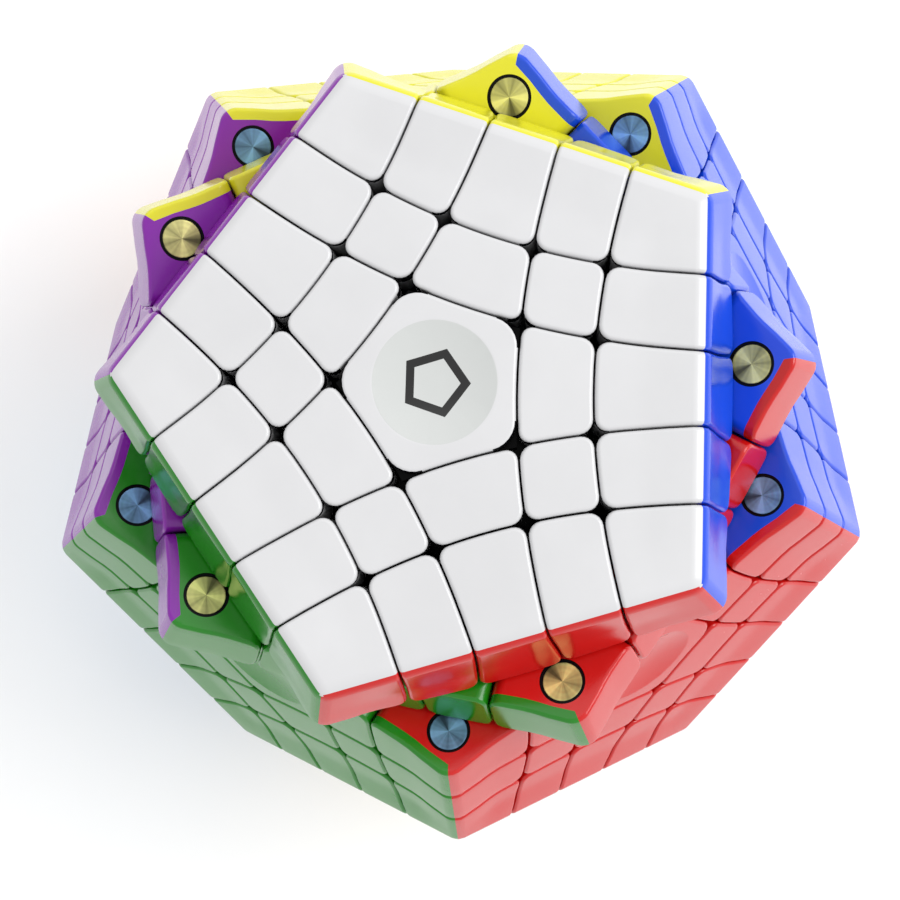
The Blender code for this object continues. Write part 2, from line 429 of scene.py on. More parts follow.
def carve(piece, cutter):
    """Cuts a piece with a cutter, and removes the cutter."""
    only(piece)
    cut = piece.modifiers.new("cut", "BOOLEAN")
    cut.solver = "MANIFOLD"
    cut.operation = "DIFFERENCE"
    cut.object = cutter
    bpy.ops.object.modifier_apply(modifier=cut.name)
    bpy.data.objects.remove(cutter)


def placed(piece, matrix):
    """Moves a piece's mesh, so that the object stays at the origin."""
    piece.data.transform(matrix)
    piece.data.update()
    return piece


def turned_to(direction):
    """Turns +Z to a direction."""
    return Vector(direction).to_track_quat("Z", "Y").to_matrix().to_4x4()


# ---------------------------------------------------------------- materials


def feed(tree, sockets, values):
    """Sets or links input sockets, from values or from other nodes' outputs."""
    for name, value in dict(values).items():
        if isinstance(value, bpy.types.NodeSocket):
            tree.links.new(value, sockets[name])
        else:
            sockets[name].default_value = value


def node(tree, kind, inputs=(), **settings):
    """A shader node with its settings and inputs."""
    made = tree.nodes.new(f"ShaderNode{kind}")
    for name, value in settings.items():
        setattr(made, name, value)
    feed(tree, made.inputs, inputs)
    return made


def calc(tree, operation, *values):
    """Output of one math node."""
    return node(tree, "Math", enumerate(values), operation=operation).outputs["Value"]


def stretched(tree, value, source, target):
    """A value stretched from one range to another, and kept within it."""
    names = ("From Min", "From Max", "To Min", "To Max")
    inputs = {"Value": value, **dict(zip(names, (*source, *target)))}
    return node(tree, "MapRange", inputs).outputs["Result"]


def noise(tree, place, scale, detail, roughness=0.5, distortion=0.0):
    """Strength of a noise pattern at a place."""
    inputs = {"Vector": place, "Scale": scale, "Detail": detail}
    inputs |= {"Roughness": roughness, "Distortion": distortion}
    return node(tree, "TexNoise", inputs).outputs["Fac"]


def group(name, inputs, outputs):
    """A new shader group, with the sockets that its nodes read and the ones that they fill."""
    tree = bpy.data.node_groups.new(name, "ShaderNodeTree")
    for in_out, sockets in (("INPUT", inputs), ("OUTPUT", outputs)):
        for label, kind in sockets.items():
            tree.interface.new_socket(name=label, in_out=in_out, socket_type=f"NodeSocket{kind}")
    return tree, tree.nodes.new("NodeGroupInput").outputs, tree.nodes.new("NodeGroupOutput").inputs


def material(name, tint=(1, 1, 1)):
    """A new material, with its nodes and its shader's inputs."""
    made = bpy.data.materials.new(name)
    made.use_nodes = True
    made.diffuse_color = (*tint, 1)
    return made, made.node_tree, made.node_tree.nodes["Principled BSDF"].inputs


def object_place(tree):
    """Object coordinates."""
    return node(tree, "TexCoord").outputs["Object"]


def local_place(tree, location, rotation):
    """Coordinates about a pattern's own middle and axis."""
    inputs = {"Vector": object_place(tree), "Location": location, "Rotation": rotation}
    return node(tree, "Mapping", inputs, vector_type="TEXTURE").outputs["Vector"]


def relief(tree, height, strength, distance):
    """Surface directions bumped by a height."""
    inputs = {"Height": height, "Strength": strength, "Distance": distance}
    return node(tree, "Bump", inputs).outputs["Normal"]


def moulding_group():
    """Surface of moulded plastic: fine orange peel, hairline scratches and handling marks."""
    found = bpy.data.node_groups.get("Moulded plastic")
    if found:
        return found
    tree, into, out = group(
        "Moulded plastic",
        {"Colour": "Color", "Roughness": "Float", "Scratches": "Float"},
        {"Colour": "Color", "Roughness": "Float", "Height": "Float"},
    )
    place = object_place(tree)
    peel = noise(tree, place, scale=900.0, detail=3.0, roughness=0.55)
    wave = noise(tree, place, scale=75.0, detail=2.0)
    marks = noise(tree, place, scale=38.0, detail=5.0, roughness=0.62)
    long_way = {"Vector": place, "Scale": (1.0, 14.0, 3.0), "Rotation": (0.4, 0.9, 0.5)}
    along = node(tree, "Mapping", long_way).outputs["Vector"]
    hair = noise(tree, along, scale=260.0, detail=4.0, distortion=0.6)
    thin = stretched(tree, hair, (0.63, 0.72), (0.0, 1.0))
    scratch = calc(tree, "MULTIPLY", thin, into["Scratches"])
    smear = stretched(tree, marks, (0.35, 0.75), (-0.035, 0.075))
    smeared = calc(tree, "ADD", smear, into["Roughness"])
    rough = calc(tree, "MULTIPLY_ADD", scratch, 0.06, smeared)
    height = 0.0
    for pattern, weight in ((peel, 0.30), (wave, 0.80), (scratch, -0.05)):
        height = calc(tree, "MULTIPLY_ADD", pattern, weight, height)
    tone = stretched(tree, marks, (0.3, 0.7), (0.965, 1.035))
    worn = node(tree, "HueSaturation", {"Value": tone, "Color": into["Colour"]}).outputs["Color"]
    feed(tree, out, {"Colour": worn, "Roughness": rough, "Height": height})
    return tree


def plastic(name):
    """Moulded plastic of that colour, made once: glossy, or matt if it is black."""
    found = bpy.data.materials.get(f"plastic_{name}")
    if found:
        return found
    tint = tuple(getattr(bpy.context.scene.puzzle_colours, name))
    made, tree, shader = material(f"plastic_{name}", tint)
    values = {"Colour": (*tint, 1), "Roughness": 0.20, "Scratches": 0.5}
    surface = node(tree, "Group", values, node_tree=moulding_group()).outputs
    normal = relief(tree, surface["Height"], strength=0.05, distance=0.0004)
    shine = 0.08 if name == "black" else 0.5
    feed(tree, shader, {"IOR": 1.49, "Specular IOR Level": shine})
    feed(tree, shader, {"Base Color": surface["Colour"], "Roughness": surface["Roughness"]})
    feed(tree, shader, {"Normal": normal})
    return made


def spun_group():
    """Sheen of a spun metal disc: wedges of light round its middle and fine turning marks."""
    found = bpy.data.node_groups.get("Spun metal")
    if found:
        return found
    tree, into, out = group(
        "Spun metal",
        {"Place": "Vector", "Colour": "Color"},
        {"Colour": "Color", "Roughness": "Float", "Height": "Float"},
    )
    parts = node(tree, "SeparateXYZ", {"Vector": into["Place"]}).outputs
    angle = calc(tree, "ARCTAN2", parts["Y"], parts["X"])
    light = 0.0
    for count, shift, weight in ((2, 0.6, 0.45), (3, 1.9, 0.30), (7, 0.3, 0.16), (19, 1.1, 0.07)):
        ray = calc(tree, "SINE", calc(tree, "MULTIPLY_ADD", angle, count, shift))
        light = calc(tree, "MULTIPLY_ADD", ray, weight, light)
    tone = stretched(tree, light, (-0.8, 0.8), (0.22, 1.9))
    lit = node(tree, "HueSaturation", {"Value": tone, "Color": into["Colour"]}).outputs["Color"]
    out_from_axis = flat_radius(tree, into["Place"])
    groove = calc(tree, "SINE", calc(tree, "MULTIPLY", out_from_axis, GROOVES))
    rough = stretched(tree, groove, (-1.0, 1.0), (0.30, 0.42))
    feed(tree, out, {"Colour": lit, "Roughness": rough, "Height": groove})
    return tree


def flat_radius(tree, place):
    """Distance from the axis of a place."""
    flat = node(tree, "VectorMath", {0: place, 1: (1, 1, 0)}, operation="MULTIPLY")
    far = node(tree, "VectorMath", {0: flat.outputs["Vector"]}, operation="LENGTH")
    return far.outputs["Value"]


def spun_metal(name, tint, place):
    """Metal of a disc that lies in the plane of a place matrix."""
    made, tree, shader = material(f"metal_{name}", tint)
    local = local_place(tree, place.to_translation(), place.to_euler())
    values = {"Place": local, "Colour": (*tint, 1)}
    look = node(tree, "Group", values, node_tree=spun_group()).outputs
    normal = relief(tree, look["Height"], strength=0.15, distance=0.00002)
    feed(tree, shader, {"Base Color": look["Colour"], "Roughness": look["Roughness"]})
    feed(tree, shader, {"Metallic": 0.55, "Normal": normal})
    return made


def ring_group():
    """Mask of a small five-sided ring round the middle of its place."""
    sockets = {"Place": "Vector", "Radius": "Float", "Half width": "Float"}
    tree, into, out = group("Five-sided ring", sockets, {"Mask": "Float"})
    farthest = 0.0
    for index in range(5):
        angle = math.radians(72 * index)
        inputs = {0: into["Place"], 1: (math.cos(angle), math.sin(angle), 0)}
        way = node(tree, "VectorMath", inputs, operation="DOT_PRODUCT").outputs["Value"]
        farthest = calc(tree, "MAXIMUM", farthest, way)
    mask = calc(tree, "COMPARE", farthest, into["Radius"], into["Half width"])
    feed(tree, out, {"Mask": mask})
    return tree


def disc_group():
    """Mask of a round patch about the axis of its place."""
    sockets = {"Place": "Vector", "Radius": "Float"}
    tree, into, out = group("Round patch", sockets, {"Mask": "Float"})
    radius = flat_radius(tree, into["Place"])
    feed(tree, out, {"Mask": calc(tree, "LESS_THAN", radius, into["Radius"])})
    return tree


def print_and_dish_shade_plastic():
    """White plastic with painted shade in its dish, a greyer tint, and a small printed five-sided
    ring in its middle.
    """
    made = plastic("white").copy()
    made.name = "plastic_white_printed"
    tree = made.node_tree
    surface = next(each for each in tree.nodes if each.type == "GROUP").outputs
    place = local_place(tree, CENTRE, (0, 0, REST_TURN["white_outer"]))
    values = {"Place": place, "Radius": sizes().dish}
    dish = node(tree, "Group", values, node_tree=disc_group()).outputs["Mask"]
    values = {"Place": place, "Radius": PRINT_RADIUS, "Half width": PRINT_HALF_WIDTH}
    ring = node(tree, "Group", values, node_tree=ring_group()).outputs["Mask"]
    colour_now = surface["Colour"]
    # The dish gets painted shade, a greyer tint; the ring is print.
    for mask, tint in ((dish, PAINTED_DISH_SHADE), (ring, PRINT_TINT)):
        inputs = {"Fac": mask, "Color1": colour_now, "Color2": tint}
        colour_now = node(tree, "MixRGB", inputs).outputs["Color"]
    feed(tree, tree.nodes["Principled BSDF"].inputs, {"Base Color": colour_now})
    return made


# ---------------------------------------------------------------- pieces between six surfaces


# Places of the grid lines across a piece, from its first surface (0) to its last (1).
SKIN_LINES = np.array((0, 0, 0.22, 0.40, 0.55, 0.68, 1.0))
EVEN_LINES = np.array((0, 0.28, 0.39, 0.50, 0.61, 0.72, 1.0))


class Span:
    """One way across a piece: its first and last surface, and the grid lines between them."""

    def __init__(self, first, last, lines, shell=0.0, face=None):
        self.first = first
        self.last = last
        self.lines = lines
        self.shell = shell
        self.face = face

    def value(self, points, index):
        """Zero where each point lies on the surface of its grid line."""
        weight = self.lines[index]
        inner = np.where(index == 0, 0.0, self.shell)
        return (1 - weight) * (self.first(points) + inner) + weight * self.last(points)


def skin_span(face, last=None):
    """From a face's skin inwards: the shell's underside is the second grid line."""
    return Span(skin(face), last or cone(face, 2, 1), SKIN_LINES, sizes().shell, face)


def inner_span(face):
    """Across a face's inner layer."""
    return Span(cone(face, 2, -1), cone(face, 1, 1), EVEN_LINES)


def middle_span(left, right):
    """Between two faces, under both their layers."""
    return Span(cone(left, 1, -1), turned_over(cone(right, 1, -1)), EVEN_LINES)


def span_block(name, spans, start):
    """Closed piece between six surfaces, with rounded outlines and inner corners."""
    size = sizes()
    cells = len(EVEN_LINES) - 1
    deselect()
    bpy.ops.mesh.primitive_cube_add(size=1)
    piece = added(name)
    with edit_mode():
        bpy.ops.mesh.select_all(action="SELECT")
        bpy.ops.mesh.subdivide(number_cuts=cells - 1)
    mesh = piece.data
    grid = np.rint((co_of(mesh) + 0.5) * cells).astype(int)

    def fields(points):
        return np.column_stack([s.value(points, grid[:, i]) for i, s in enumerate(spans)])

    put(mesh, settled(np.tile(np.asarray(start, float), (len(grid), 1)), fields))

    for _ in range(PAINTED_SHADE_SLOT + 1):
        mesh.materials.append(plastic("black"))
    skins = [axis for axis, span in enumerate(spans) if span.face]
    for polygon in mesh.polygons:
        polygon.material_index = BODY_SLOT
        for order, axis in enumerate(skins):
            if (grid[list(polygon.vertices), axis] == 0).all():
                polygon.material_index = order

    def at_wall(edge, axis):
        line = {grid[vertex, axis] for vertex in edge.vertices}
        walls = {cells} if spans[axis].face else {0, cells}
        return len(line) == 1 and line <= walls

    def upright(edge, _):
        return any(
            all(at_wall(edge, other) for other in range(3) if other != axis) for axis in skins
        )

    outward(piece)
    # The rounded inner corners get black painted shade, for the dark holes between pieces.
    bevel_edges(piece, upright, size.corner, 5, PAINTED_SHADE_SLOT)
    bevel_edges(piece, ridge, size.ridge, 6)
    bevel_edges(piece, outline, size.fillet, 3)
    paint(piece, [spans[axis].face for axis in skins])
    smooth(piece)
    return piece


def ridge(_, beside):
    """Edges between two coloured faces."""
    slots = {polygon.material_index for polygon in beside}
    return max(slots) < BODY_SLOT and len(slots) > 1


def outline(_, beside):
    """Edges of a coloured face, towards a wall."""
    slots = {polygon.material_index for polygon in beside}
    return min(slots) < BODY_SLOT <= max(slots)


def depths_under(mesh, faces):
    """Depth of each polygon's middle under each of these faces, as rows."""
    middles = np.array([polygon.center for polygon in mesh.polygons])
    return np.array([-skin(face)(middles) for face in faces])


def plate_slots(mesh, faces, wide=None):
    """For each polygon, the slot of the coloured face that it lies within a shell of.

    A wide slot's plate reaches a little way over the ridges, towards the other faces.
    """
    depths = depths_under(mesh, faces)
    within = depths.min(axis=0) < sizes().shell
    depths[0] += TIE_BREAK
    if wide is not None:
        depths[wide] -= PLATE_REACH
    return np.where(within, depths.argmin(axis=0), BODY_SLOT)


def paint(piece, faces):
    """Gives each polygon its slot, with strips of black painted shade down the rounded inner
    corners.
    """
    size = sizes()
    if len(faces) > 1:
        only(piece)
        clear_selection("FACE")
        second = np.sort(depths_under(piece.data, faces), axis=0)[1]
        for polygon, depth in zip(piece.data.polygons, second):
            polygon.select = depth < size.shell and len(polygon.vertices) > 4
        with edit_mode():
            bpy.ops.mesh.poke()
    mesh = piece.data
    start, end = SHADE_STRIPS_FROM * size.fillet, SHADE_STRIPS_TO * size.shell
    depths = depths_under(mesh, faces).min(axis=0)
    # Inner-corner polygons between these depths keep their black painted shade.
    for polygon, depth, slot in zip(mesh.polygons, depths, plate_slots(mesh, faces)):
        if polygon.material_index != PAINTED_SHADE_SLOT or not start < depth < end:
            polygon.material_index = int(slot)


# ---------------------------------------------------------------- pieces of the puzzle


def layer_of(levels):
    """Body that a piece rides on, from its level on each turning face."""
    for face in TURNING:
        if levels.get(face):
            return f"{face}_{'outer' if levels[face] == 2 else 'inner'}"
    return "middle"


def layer_matrix(body):
    """From the solved puzzle about its centre to a body's place at rest."""
    return Matrix.Translation(CENTRE) @ Matrix.Rotation(REST_TURN.get(body, 0.0), 4, "Z")


def own_plastic(faces):
    """Colour of a piece's own plastic, under the plates of its other faces."""
    if len(faces) == 2 and set(faces) <= set(UPPER):
        first, second = (UPPER.index(face) for face in faces)
        return UPPER[first] if (second - first) % 5 == 1 else UPPER[second]
    return min(faces, key=list(AXES).index)


def cad_nodes_of(levels, faces, kind, count):
    """CAD nodes that a piece stands for."""
    body = layer_of(levels)
    if body == "middle":
        return ["middle_body"]
    if body.startswith(("cream", "orange")):
        return [f"{body}_layer"]
    if body == "white_outer":
        return ["white_center_cap"] if kind == "center" else [f"white_{kind}_{count}"]
    ring = [face for face in faces if face in UPPER]
    if kind == "wing":
        return [f"second_layer_{own_plastic(ring)}_wing"]
    return [f"second_layer_{ring[0]}_strip"]


def white_count(levels, faces, kind):
    """Number that the CAD gives a piece of the white face, and its kind there."""
    highest = max((levels[face] for face in UPPER if face in levels), default=0)
    ring = [UPPER.index(face) for face in UPPER if levels.get(face) == highest]
    if kind in ("corner", "x_center"):
        first, second = ring
        return (first if (second - first) % 5 == 1 else second) + 1, kind
    if kind == "wing":
        lead = ring[0]
        lower = next(UPPER.index(face) for face in UPPER if levels.get(face) == 1)
        return lead + 1, "wing_left" if (lower - lead) % 5 == 1 else "wing_right"
    return (ring[0] + 1 if ring else 0), kind


def spread(base, kind, levels):
    """Copies a piece to all its places round the puzzle, and removes the first one.

    Only white pieces keep the strips of black painted shade: the coloured ones show their plates'
    ends instead.
    """
    seen = set()
    plated = [face for face, level in levels.items() if level == 2]
    first_slots = np.empty(len(base.data.polygons), int)
    base.data.polygons.foreach_get("material_index", first_slots)
    for turn, moved in rotations():
        here = {moved[face]: level for face, level in levels.items()}
        key = frozenset(here.items())
        if key in seen or (kind == "base" and "white" in here):
            continue
        seen.add(key)
        faces = [face for face, level in here.items() if level == 2]
        body = layer_of(here)
        below = "_".join(face for face in here if here[face] == 1)
        name = "_".join([*faces, kind] + (["by", below] if below else []))
        piece = base.copy()
        piece.data = base.data.copy()
        piece.name = piece.data.name = name
        bpy.context.scene.collection.objects.link(piece)
        placed(piece, layer_matrix(body) @ Matrix(turn.tolist()).to_4x4())
        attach(piece, body)
        if kind == "base":
            continue
        own = own_plastic(faces)
        for slot, face in enumerate(faces):
            piece.data.materials[slot] = plastic(face)
        piece.data.materials[BODY_SLOT] = plastic(own)
        wide = faces.index("white") if own == "white" else None
        slots = plate_slots(base.data, plated, wide)
        # White pieces keep the black painted shade down their rounded inner corners.
        if own == "white":
            slots[first_slots == PAINTED_SHADE_SLOT] = PAINTED_SHADE_SLOT
        piece.data.polygons.foreach_set("material_index", slots)
        count, cad_kind = 0, kind
        if body == "white_outer":
            count, cad_kind = white_count(here, faces, kind)
        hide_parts(*cad_nodes_of(here, faces, cad_kind, count))
    bpy.data.objects.remove(base)


def middle_of(*faces, depth):
    """A point inside the puzzle, that far down from where these faces' directions meet."""
    direction = sum(AXES[face] for face in faces)
    direction = direction / np.linalg.norm(direction)
    reach = (FACE_DISTANCE - depth) / (direction @ AXES[faces[0]])
    return direction * reach


class PUZZLE_OT_corners(bpy.types.Operator):
    """Makes the twenty corners, each with three coloured faces"""

    bl_idname = "puzzle.corners"
    bl_label = "Corners"

    def execute(self, context):
        faces = ("white", "yellow", "blue")
        spans = [skin_span(face) for face in faces]
        base = span_block("corner", spans, middle_of(*faces, depth=EDGE_START))
        spread(base, "corner", dict.fromkeys(faces, 2))
        return {"FINISHED"}


class PUZZLE_OT_midges(bpy.types.Operator):
    """Makes the thirty edge middles, each with two coloured faces"""

    bl_idname = "puzzle.midges"
    bl_label = "Edge middles"

    def execute(self, context):
        spans = [skin_span("white"), skin_span("yellow"), middle_span("purple", "blue")]
        base = span_block("midge", spans, middle_of("white", "yellow", depth=EDGE_START))
        spread(base, "midge", {"white": 2, "yellow": 2})
        return {"FINISHED"}


class PUZZLE_OT_wings(bpy.types.Operator):
    """Makes the sixty edge wings, each with two coloured faces"""

    bl_idname = "puzzle.wings"
    bl_label = "Edge wings"

    def execute(self, context):
        spans = [skin_span("white"), skin_span("yellow"), inner_span("blue")]
        start = middle_of("white", "yellow", depth=EDGE_START) + AXES["blue"] * WING_OUT
        base = span_block("wing", spans, start)
        spread(base, "wing", {"white": 2, "yellow": 2, "blue": 1})
        return {"FINISHED"}


class PUZZLE_OT_t_centers(bpy.types.Operator):
    """Makes the sixty face pieces beside the centers' sides"""

    bl_idname = "puzzle.t_centers"
    bl_label = "T centers"

    def execute(self, context):
        top = skin_span("white", plane("white", sizes().plate))
        spans = [top, inner_span("yellow"), middle_span("purple", "blue")]
        start = middle_of("white", depth=FACE_START) + AXES["yellow"] * T_CENTER_OUT
        spread(span_block("t_center", spans, start), "t_center", {"white": 2, "yellow": 1})
        return {"FINISHED"}


class PUZZLE_OT_x_centers(bpy.types.Operator):
    """Makes the sixty face pieces beside the centers' corners"""

    bl_idname = "puzzle.x_centers"
    bl_label = "X centers"

    def execute(self, context):
        top = skin_span("white", plane("white", sizes().plate))
        spans = [top, inner_span("yellow"), inner_span("blue")]
        outwards = AXES["yellow"] + AXES["blue"]
        start = middle_of("white", depth=FACE_START) + outwards * X_CENTER_OUT
        levels = {"white": 2, "yellow": 1, "blue": 1}
        spread(span_block("x_center", spans, start), "x_center", levels)
        return {"FINISHED"}


def center_block(name, top, bottom):
    """Closed five-sided block between the cuts round the white face's middle.

    top and bottom are the surfaces that close it, given as heights over them.
    """
    size = sizes()
    parts = np.array((0, 0.22, 0.38, 0.5, 0.62, 0.78))  # places along a side, from a corner
    sides = 5 * len(parts)
    deselect()
    bpy.ops.mesh.primitive_cylinder_add(vertices=sides, radius=1, depth=2, end_fill_type="NGON")
    piece = added(name)
    mesh = piece.data
    raw = co_of(mesh)
    step = 2 * math.pi / sides
    index = np.rint(np.arctan2(raw[:, 0], raw[:, 1]) / step).astype(int) % sides
    side, part = index // len(parts), parts[index % len(parts)]
    normals = np.array([AXES[face] for face in UPPER])[side]
    flat = normals * (1, 1, 0)
    flat /= np.linalg.norm(flat, axis=1, keepdims=True)
    along = np.cross(flat, (0, 0, 1))
    slant = math.tan(math.radians(36)) * (2 * part - 1)
    cuts = [cone(face, 1, -1) for face in UPPER]
    upper = raw[:, 2] > 0

    def fields(points):
        cut = np.choose(side, [cut(points) for cut in cuts])
        level = np.where(upper, top(points), bottom(points))
        over = (points * along).sum(axis=1) - slant * (points * flat).sum(axis=1)
        return np.column_stack([cut, level, over])

    start = flat * CENTER_OUT + np.array((0, 0, FACE_DISTANCE - CENTER_START))
    put(mesh, settled(start, fields))
    for _ in range(PAINTED_SHADE_SLOT + 1):
        mesh.materials.append(plastic("black"))
    for polygon in mesh.polygons:
        level = polygon.normal.z if len(polygon.vertices) > 4 else 0
        polygon.material_index = 0 if level > 0.5 else BODY_SLOT
    corners = set(np.flatnonzero(part == 0).tolist())

    def at_corner(edge, _):
        return set(edge.vertices) <= corners

    # The center's rounded corners get black painted shade, like the pieces' inner corners.
    bevel_edges(piece, at_corner, size.center_corner, 6, PAINTED_SHADE_SLOT)
    outward(piece)
    return piece


def dished(piece):
    """Gives a center cap's flat top rings of vertices, hollowed by a shallow round dish."""
    size = sizes()
    bevel_edges(piece, outline, size.fillet, 4)
    clear_selection("FACE")
    mesh = piece.data
    heights = [polygon.center.z for polygon in mesh.polygons]
    mesh.polygons[int(np.argmax(heights))].select = True
    with edit_mode():
        # Each ring goes up by a metre, so that its height tells its number.
        for _ in DISH_RINGS:
            bpy.ops.mesh.extrude_region_move(TRANSFORM_OT_translate={"value": (0, 0, 1)})
    points = co_of(mesh)
    lift = np.rint(points[:, 2] - FACE_DISTANCE).astype(int)
    out = np.hypot(points[:, 0], points[:, 1])
    rim_height = FACE_DISTANCE - size.hollow
    for number, (radius, drop) in enumerate(DISH_RINGS, start=1):
        ring = lift == number
        points[ring, :2] *= (size.dish * radius / out[ring])[:, None]
        points[ring, 2] = rim_height - drop * size.dish_depth
    put(mesh, points)
    # The black painted shade on the corners stays; everything else takes the cap's colour.
    for polygon in mesh.polygons:
        if polygon.material_index != PAINTED_SHADE_SLOT:
            polygon.material_index = 0
    return piece


class PUZZLE_OT_centers(bpy.types.Operator):
    """Makes the twelve dished center caps and the dark bases under them"""

    bl_idname = "puzzle.centers"
    bl_label = "Centers"

    def execute(self, context):
        size = sizes()
        top, under = skin("white"), plane("white", size.cap)
        cap = dished(center_block("center", top, under))
        smooth(cap, 35)
        spread(cap, "center", {"white": 2})
        deep = plane("white", size.plate)
        base = center_block("base", plane("white", size.cap + size.gap), deep)
        smooth(base)
        spread(base, "base", {"white": 2})
        bpy.context.scene.objects["white_center"].data.materials[0] = print_and_dish_shade_plastic()
        return {"FINISHED"}


# ---------------------------------------------------------------- mechanism, magnets and core


def profile_ring(name, profile):
    """Ring about +Z whose section has four corners, given as (radius, height).

    The first is on its outer side, and the others follow over its top, inside and underneath.
    """
    deselect()
    bpy.ops.mesh.primitive_torus_add(
        major_segments=ROUND_SIDES, minor_segments=4, major_radius=1, minor_radius=0.5
    )
    ring = added(name)
    raw = co_of(ring.data)
    around = np.arctan2(raw[:, 1], raw[:, 0])
    out = np.hypot(raw[:, 0], raw[:, 1]) - 1
    quarter = np.rint(np.arctan2(raw[:, 2], out) / (math.pi / 2)).astype(int) % 4
    section = np.array(profile)[quarter]
    radius, height = section.T
    put(ring.data, np.column_stack([radius * np.cos(around), radius * np.sin(around), height]))
    outward(ring)
    return ring


class PUZZLE_OT_mechanism(bpy.types.Operator):
    """Makes the dark inner parts that close the view through the seams"""

    bl_idname = "puzzle.mechanism"
    bl_label = "Mechanism"

    def execute(self, context):
        size = sizes()
        spare = 2 * size.gap
        roof = FACE_DISTANCE - size.plate - spare
        at_hole = size.slope * HOLE_RADIUS
        at_side = size.slope * RING_RADIUS
        lower, upper = cut_tip(1), cut_tip(2)
        sections = {
            "outer": (
                (RING_RADIUS, upper + at_side + RING_LIP),
                (RING_RADIUS - RING_TAPER, roof),
                (HOLE_RADIUS, roof),
                (HOLE_RADIUS, upper + at_hole + spare),
            ),
            "inner": (
                (RING_RADIUS, lower + at_side + spare),
                (RING_RADIUS, upper + at_side - spare),
                (HOLE_RADIUS, upper + at_hole - spare),
                (HOLE_RADIUS, lower + at_hole + spare),
            ),
        }
        made = {}
        for face in TURNING:
            for layer, section in sections.items():
                if (face, layer) == ("white", "inner"):
                    continue  # the CAD's second_layer_disc is there
                body = f"{face}_{layer}"
                made[body] = profile_ring(f"{body}_mechanism", section)
                placed(made[body], layer_matrix(body) @ turned_to(AXES[face]))

        deselect()
        bpy.ops.mesh.primitive_ico_sphere_add(subdivisions=4, radius=roof)
        made["middle"] = added("middle_mechanism")
        for face in TURNING:
            bpy.ops.mesh.primitive_cone_add(
                vertices=ROUND_SIDES, radius1=0, radius2=roof / size.slope, depth=roof
            )
            cutter = added("cone")
            height = Matrix.Translation((0, 0, lower - spare + roof / 2))
            placed(cutter, turned_to(AXES[face]) @ height)
            carve(made["middle"], cutter)
        placed(made["middle"], Matrix.Translation(CENTRE))
        for body, piece in made.items():
            piece.data.materials.append(plastic("black"))
            smooth(piece, 30)
            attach(piece, body)
        return {"FINISHED"}


def disc_place(magnet):
    """Matrix with its origin in a magnet's middle and +Z out of the cut that it lies in."""
    low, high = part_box(magnet)
    centre = (low + high) / 2
    out = Vector((centre.x, centre.y, 0)).normalized()
    facing = (Vector((0, 0, 1)) - sizes().slope * out).normalized()
    return Matrix.Translation(centre) @ turned_to(facing)


def pocket_cutter(place):
    """Cutter for a magnet's pocket, which the dark ring fits into."""
    deselect()
    radius = MAGNET_RADIUS + MAGNET_RIM + POCKET_PLAY
    bpy.ops.mesh.primitive_cylinder_add(
        vertices=MAGNET_SIDES, radius=radius, depth=2 * MAGNET_THICKNESS
    )
    cutter = added("pocket")
    cutter.data.materials.append(plastic("black"))
    return placed(cutter, place @ Matrix.Translation((0, 0, MAGNET_THICKNESS / 2 - POCKET_SINK)))


def magnet_disc(name, place):
    """A magnet with a fine bevel round its two flat sides."""
    deselect()
    bpy.ops.mesh.primitive_cylinder_add(
        vertices=MAGNET_SIDES, radius=MAGNET_RADIUS, depth=MAGNET_THICKNESS
    )
    disc = added(name)

    def at_rim(_, beside):
        return max(len(polygon.vertices) for polygon in beside) > 4

    bevel_edges(disc, at_rim, MAGNET_BEVEL, 3)
    smooth(placed(disc, place), 40)
    return disc


def magnet_ring(name, place):
    """The dark ring round a magnet."""
    inside, outside = MAGNET_RADIUS + RIM_PLAY, MAGNET_RADIUS + MAGNET_RIM
    low, high = -MAGNET_THICKNESS / 2 - RIM_UNDER, MAGNET_THICKNESS / 2 + RIM_OVER
    section = ((outside, high), (inside, high), (inside, low), (outside, low))
    ring = placed(profile_ring(name, section), place)
    ring.data.materials.append(plastic("black"))
    return ring


class PUZZLE_OT_magnets(bpy.types.Operator):
    """Makes the round magnets, their dark rings, and the pockets that they lie in"""

    bl_idname = "puzzle.magnets"
    bl_label = "Magnets"

    def execute(self, context):
        scene = bpy.context.scene
        hosts = [
            piece
            for piece in scene.objects
            if piece.name.endswith("wing_by_white")
            or (piece.name.endswith("midge") and piece.parent is frame["bodies"]["middle"])
        ]
        middles = {piece.name: Vector(co_of(piece.data).mean(axis=0)) for piece in hosts}
        for metal, body in (("gold", "white_inner"), ("steel", "middle")):
            tint = tuple(getattr(scene.puzzle_colours, metal))
            for number in range(1, 6):
                magnet = f"{metal}_magnet_{number}"
                place = disc_place(magnet)
                centre = place.to_translation()
                host = min(middles, key=lambda name: (middles[name] - centre).length)
                carve(scene.objects[host], pocket_cutter(place))
                disc = magnet_disc(f"{metal}_disc_{number}", place)
                disc.data.materials.append(spun_metal(disc.name, tint, place))
                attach(disc, body)
                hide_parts(magnet)
                ring = magnet_ring(f"{metal}_ring_{number}", place)
                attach(ring, body)
        return {"FINISHED"}


class PUZZLE_OT_core(bpy.types.Operator):
    """Gives the core, the screw and the hidden parts of the turned layers their finishes"""

    bl_idname = "puzzle.core"
    bl_label = "Core"

    def execute(self, context):
        finishes = {
            "core_spider": "black",
            "second_layer_disc": "black",
            "white_center_base": "black",
            "white_center_screw": "grey",
        }
        for name, finish in finishes.items():
            materials = frame["nodes"][name].data.materials
            materials.clear()
            materials.append(plastic(finish))
        return {"FINISHED"}


# ---------------------------------------------------------------- stage


